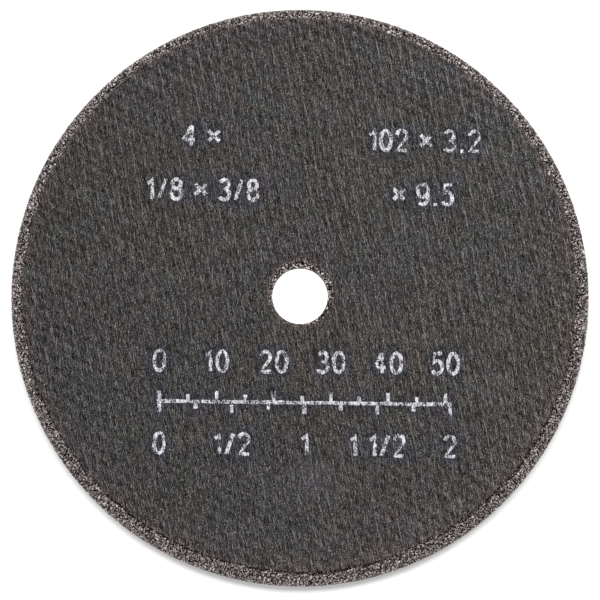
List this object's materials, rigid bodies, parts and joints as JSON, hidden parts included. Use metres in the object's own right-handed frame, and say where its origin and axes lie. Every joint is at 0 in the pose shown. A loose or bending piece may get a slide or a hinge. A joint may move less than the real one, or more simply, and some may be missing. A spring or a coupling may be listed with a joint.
{
  "type": "die grinder wheel",
  "caption": "Flat resin-bonded abrasive wheel with smooth moulded facings, bare grain round the rim and a plain arbor bore.",
  "frame": {"origin": "on the bore's axis, at the level of the back facing that the wheel lies on", "axes": "+Z along the bore, out of the front facing; +Y towards the side where the front facing lies nearest the rim"},
  "size_m": [0.1016, 0.1016, 0.0032],
  "materials": {
    "bonded_abrasive": "matt, coarse grain under a smoother fibrous facing"
  },
  "bodies": {
    "root": {"abrasive_wheel": "bonded_abrasive"}
  },
  "joints": []
}
